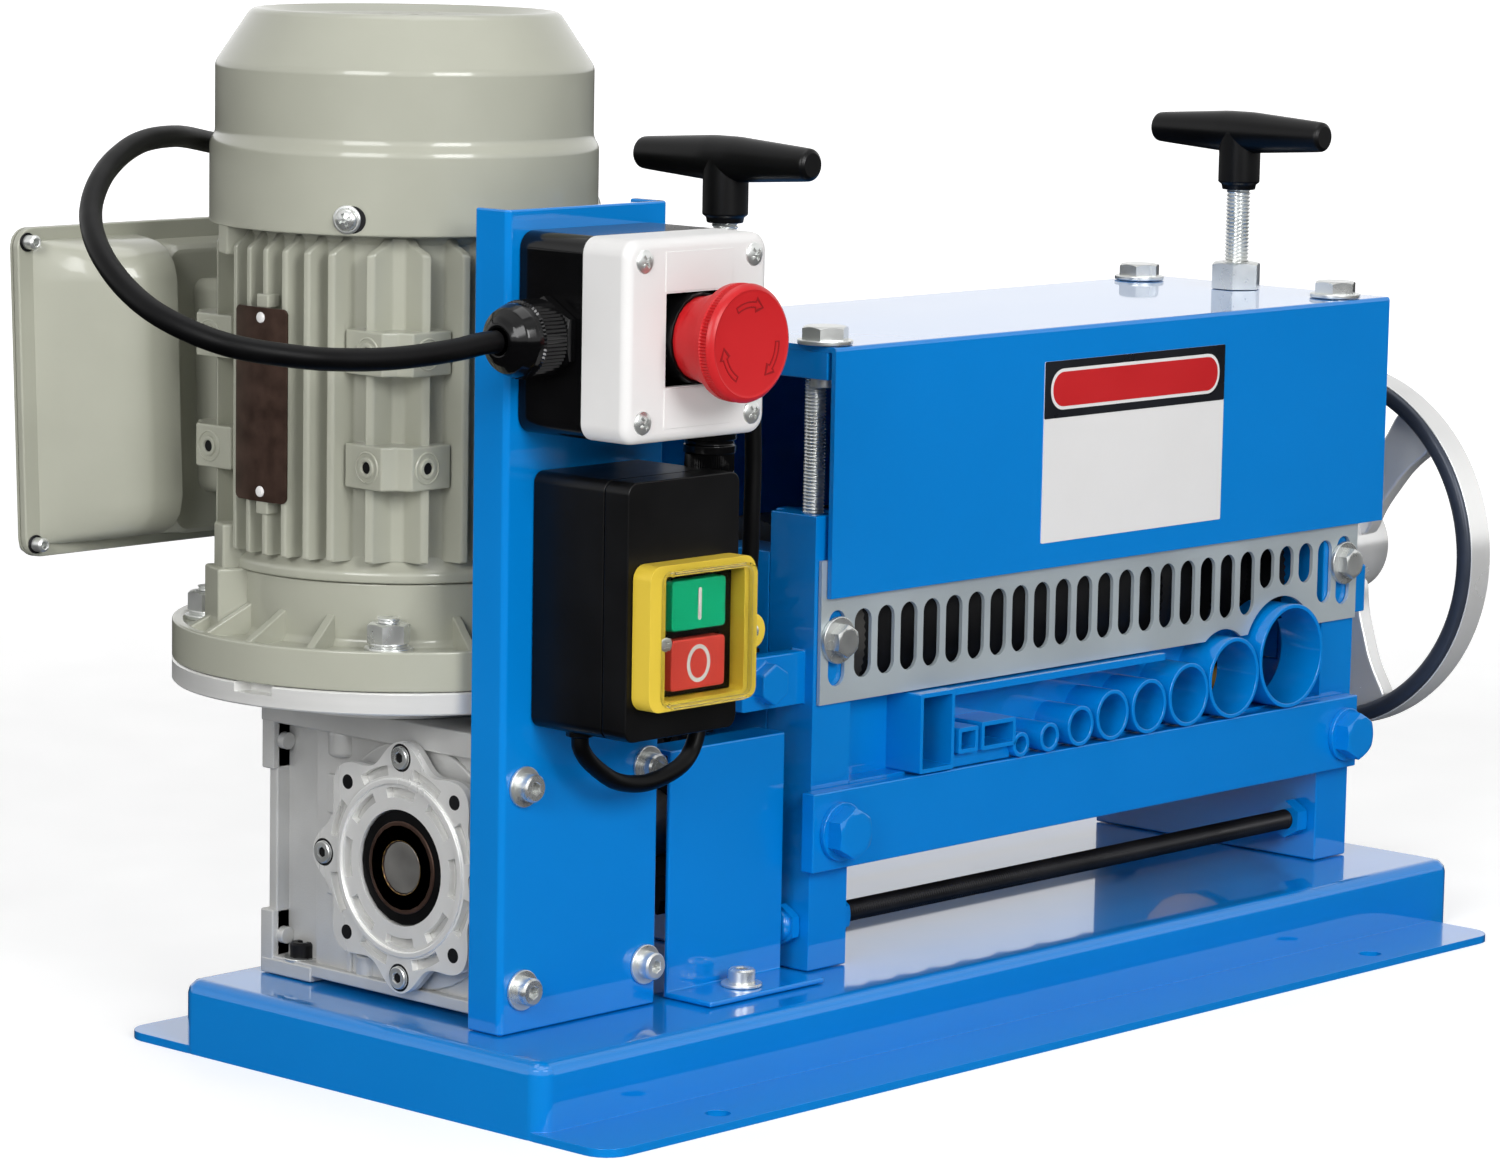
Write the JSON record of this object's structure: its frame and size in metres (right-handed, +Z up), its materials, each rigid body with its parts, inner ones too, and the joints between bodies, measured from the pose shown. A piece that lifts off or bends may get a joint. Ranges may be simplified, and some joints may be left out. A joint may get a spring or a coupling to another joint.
{
  "type": "bench cable stripping machine",
  "caption": "Motor-driven bench cable stripper: worm gear motor, knurled pressing roller over circular blades, guide tubes, hand wheel, T-handle adjusters and push-button control panel.",
  "frame": {"origin": "centre of the machine's outer box on the plane of the feet, free cables left out", "axes": "+X along the base from the motor to the hand wheel, +Y from the control panel to the back, +Z up"},
  "size_m": [0.7299, 0.2714, 0.3695],
  "materials": {
    "blue_powder_coat": "gloss powder coat",
    "zinc_plated_steel": "bright zinc plate",
    "machined_steel": "turned and ground",
    "black_oxide_steel": "black oxide",
    "cast_aluminium": "die cast",
    "motor_paint": "satin enamel",
    "black_plastic": "satin moulded",
    "cable_rubber": "matt sheath",
    "white_plastic": "satin moulded",
    "red_plastic": "gloss",
    "green_plastic": "gloss",
    "yellow_plastic": "satin",
    "clear_cover": "clear moulded",
    "copper_winding": "enamelled wire",
    "polished_wheel": "polished rim",
    "bronze": "cast bronze"
  },
  "bodies": {
    "frame": {"base_tray": "blue_powder_coat", "control_bracket": "blue_powder_coat", "coupling_guard": "blue_powder_coat", "left_side_frame": "blue_powder_coat", "right_side_frame": "blue_powder_coat", "top_cover": "blue_powder_coat", "guide_rail": "blue_powder_coat", "guide_tube_bank": "blue_powder_coat", "front_tie_rod": "black_oxide_steel", "rear_tie_rod": "black_oxide_steel", "cover_bolt_front_left": "zinc_plated_steel", "cover_bolt_front_right": "zinc_plated_steel", "cover_bolt_rear_left": "zinc_plated_steel", "cover_bolt_rear_right": "zinc_plated_steel", "lower_left_bearing": "bronze", "lower_right_bearing": "bronze", "gearbox_housing": "cast_aluminium", "gearbox_output_cover": "cast_aluminium", "oil_seal": "cable_rubber", "motor_adapter": "cast_aluminium", "motor_end_shield": "motor_paint", "stator_frame": "motor_paint", "stator_core": "copper_winding", "fan_cover": "motor_paint", "terminal_box": "motor_paint", "terminal_box_lid": "motor_paint", "run_capacitor": "white_plastic", "estop_box_base": "black_plastic", "estop_box_cover": "white_plastic", "estop_collar": "black_plastic", "cable_gland": "black_plastic", "switch_box_base": "black_plastic", "switch_box_cover": "black_plastic", "switch_frame": "yellow_plastic", "switch_window": "clear_cover", "motor_cable": "cable_rubber", "switch_cable": "cable_rubber"},
    "guard": {"slotted_guard_plate": "zinc_plated_steel"},
    "carriage": {"left_bearing_block": "blue_powder_coat", "right_bearing_block": "blue_powder_coat"},
    "left_screw": {"left_adjusting_screw": "zinc_plated_steel", "left_tee_handle": "black_plastic"},
    "right_screw": {"right_adjusting_screw": "zinc_plated_steel", "right_tee_handle": "black_plastic"},
    "roller": {"knurled_roller": "black_oxide_steel", "upper_gear": "black_oxide_steel", "handwheel": "polished_wheel"},
    "knob": {"crank_knob": "black_plastic"},
    "cutter": {"cutter_shaft": "machined_steel", "blade_stack": "machined_steel", "lower_gear": "black_oxide_steel", "worm_wheel": "bronze"},
    "motor": {"rotor": "machined_steel", "cooling_fan": "black_plastic", "worm": "machined_steel"},
    "stop_plunger": {"estop_plunger": "machined_steel"},
    "stop_head": {"estop_head": "red_plastic"},
    "start_button": {"start_button": "green_plastic"},
    "stop_button": {"stop_button": "red_plastic"}
  },
  "joints": [
    {"name": "roller_spin", "type": "hinge", "parent": "carriage", "child": "roller", "pos_m": [0.03775, -0.00875, 0.1415], "axis": [1, 0, 0], "continuous": true},
    {"name": "cutter_spin", "type": "hinge", "parent": "frame", "child": "cutter", "pos_m": [0.03775, -0.00875, 0.0765], "axis": [1, 0, 0], "continuous": true},
    {"name": "motor_spin", "type": "hinge", "parent": "frame", "child": "motor", "pos_m": [-0.23395, 0.03125, 0.2265], "axis": [0, 0, 1], "continuous": true},
    {"name": "left_screw_turn", "type": "hinge", "parent": "carriage", "child": "left_screw", "pos_m": [-0.11305, -0.00875, 0.3145], "axis": [0, 0, 1], "range_deg": [0, 960]},
    {"name": "right_screw_turn", "type": "hinge", "parent": "carriage", "child": "right_screw", "pos_m": [0.18915, -0.00875, 0.3145], "axis": [0, 0, 1], "range_deg": [0, 960]},
    {"name": "carriage_lift", "type": "slide", "parent": "frame", "child": "carriage", "axis": [0, 0, 1], "range_m": [0, 0.004]},
    {"name": "crank_knob_spin", "type": "hinge", "parent": "roller", "child": "knob", "pos_m": [0.29675, 0.05034, 0.15192], "axis": [1, 0, 0], "continuous": true},
    {"name": "stop_push", "type": "slide", "parent": "frame", "child": "stop_plunger", "axis": [0, 1, 0], "range_m": [0, 0.004]},
    {"name": "stop_twist", "type": "hinge", "parent": "stop_plunger", "child": "stop_head", "pos_m": [-0.23575, -0.12975, 0.2655], "axis": [0, 1, 0], "range_deg": [0, 45], "stiffness_Nm_per_rad": 0.05},
    {"name": "start_button_push", "type": "slide", "parent": "frame", "child": "start_button", "axis": [0, 1, 0], "range_m": [0, 0.003], "stiffness_N_per_m": 300},
    {"name": "stop_button_push", "type": "slide", "parent": "frame", "child": "stop_button", "axis": [0, 1, 0], "range_m": [0, 0.003], "stiffness_N_per_m": 300},
    {"name": "guard_adjust", "type": "slide", "parent": "frame", "child": "guard", "axis": [0, 0, 1], "range_m": [0, 0.01]}
  ],
  "couplings": [
    {"joint": "cutter_spin", "follows": "roller_spin", "ratio": -1},
    {"joint": "motor_spin", "follows": "roller_spin", "ratio": 30},
    {"joint": "left_screw_turn", "follows": "carriage_lift", "rad_per_m": 4188.8},
    {"joint": "right_screw_turn", "follows": "carriage_lift", "rad_per_m": 4188.8}
  ]
}
